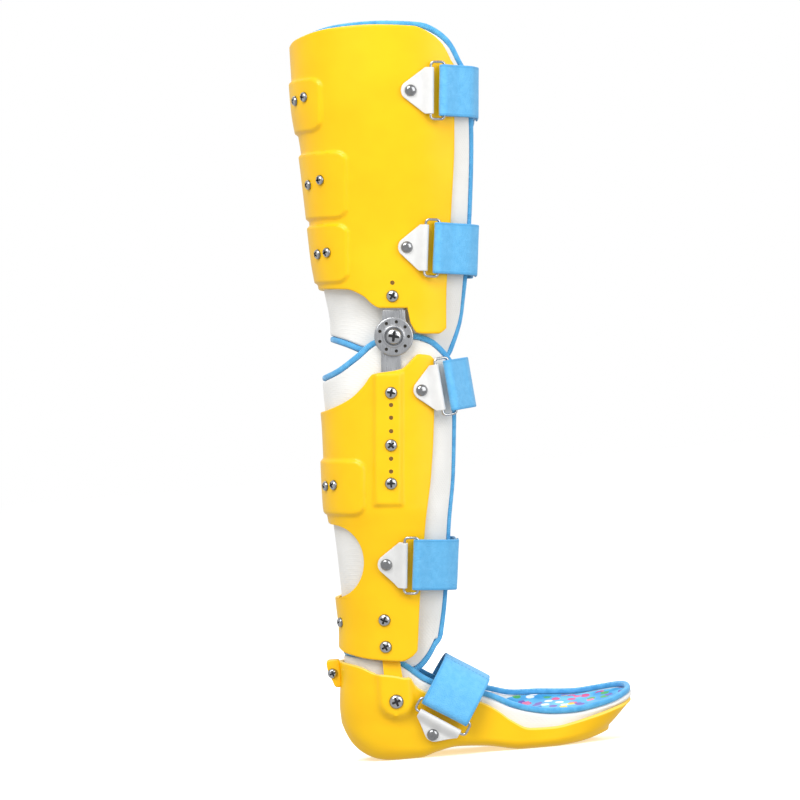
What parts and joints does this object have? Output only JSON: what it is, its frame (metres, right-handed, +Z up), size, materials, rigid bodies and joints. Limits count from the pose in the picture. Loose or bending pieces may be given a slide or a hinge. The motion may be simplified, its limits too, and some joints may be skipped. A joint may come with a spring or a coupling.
{
  "type": "knee ankle foot orthosis",
  "caption": "Child's knee ankle foot orthosis: moulded plastic thigh, calf and foot shells with foam liners, steel knee dial hinges, ankle struts and webbing straps.",
  "frame": {"origin": "on the floor under the ankle axis, on the flat of the heel's sole", "axes": "+X to the toes, -Y to the outer side of the leg, +Z up"},
  "size_m": [0.2283, 0.1488, 0.5555],
  "materials": {
    "yellow_plastic": "smooth vacuum-formed plastic, satin gloss",
    "white_foam": "soft closed-cell foam with a fine cloth face",
    "blue_binding": "folded woven tape, stitched",
    "blue_insole": "printed cloth",
    "blue_webbing": "loop-faced webbing",
    "white_tab": "white coated sheet",
    "steel": "bright plated steel, bars satin"
  },
  "bodies": {
    "foot": {"foot_shell": "yellow_plastic", "foot_liner": "white_foam", "insole": "blue_insole", "foot_binding": "blue_binding", "strap_5": "blue_webbing", "strap_5_tab": "white_tab", "strap_5_ring": "steel", "strap_5_rivet": "steel", "ankle_pivot": "steel", "ankle_pivot_inner": "steel", "heel_screw": "steel"},
    "calf": {"calf_shell": "yellow_plastic", "calf_liner": "white_foam", "calf_binding": "blue_binding", "knee_bar_lower": "steel", "knee_bar_lower_inner": "steel", "strap_3": "blue_webbing", "strap_3_tab": "white_tab", "strap_3_ring": "steel", "strap_3_rivet": "steel", "strap_4": "blue_webbing", "strap_4_tab": "white_tab", "strap_4_ring": "steel", "strap_4_rivet": "steel", "calf_screw_1": "steel", "calf_screw_2": "steel", "bar_screw_1": "steel", "bar_screw_2": "steel", "bar_screw_3": "steel", "calf_back_screw": "steel", "ankle_screw_1": "steel", "ankle_screw_2": "steel", "ankle_strut": "yellow_plastic", "ankle_strut_inner": "yellow_plastic"},
    "thigh": {"thigh_shell": "yellow_plastic", "thigh_liner": "white_foam", "thigh_binding": "blue_binding", "knee_bar_upper": "steel", "knee_bar_upper_inner": "steel", "knee_pivot": "steel", "knee_pivot_inner": "steel", "strap_1": "blue_webbing", "strap_1_tab": "white_tab", "strap_1_ring": "steel", "strap_1_rivet": "steel", "strap_2": "blue_webbing", "strap_2_tab": "white_tab", "strap_2_ring": "steel", "strap_2_rivet": "steel", "thigh_screw_1": "steel", "thigh_screw_2": "steel", "thigh_screw_3": "steel", "thigh_screw_4": "steel", "thigh_screw_5": "steel", "thigh_screw_6": "steel", "knee_screw_upper": "steel"}
  },
  "joints": [
    {"name": "ankle", "type": "hinge", "parent": "foot", "child": "calf", "pos_m": [0, 0, 0.045], "axis": [0, 1, 0], "range_deg": [0, 8]},
    {"name": "knee", "type": "hinge", "parent": "calf", "child": "thigh", "pos_m": [0.0218, 0, 0.31714], "axis": [0, -1, 0], "range_deg": [0, 50]}
  ]
}
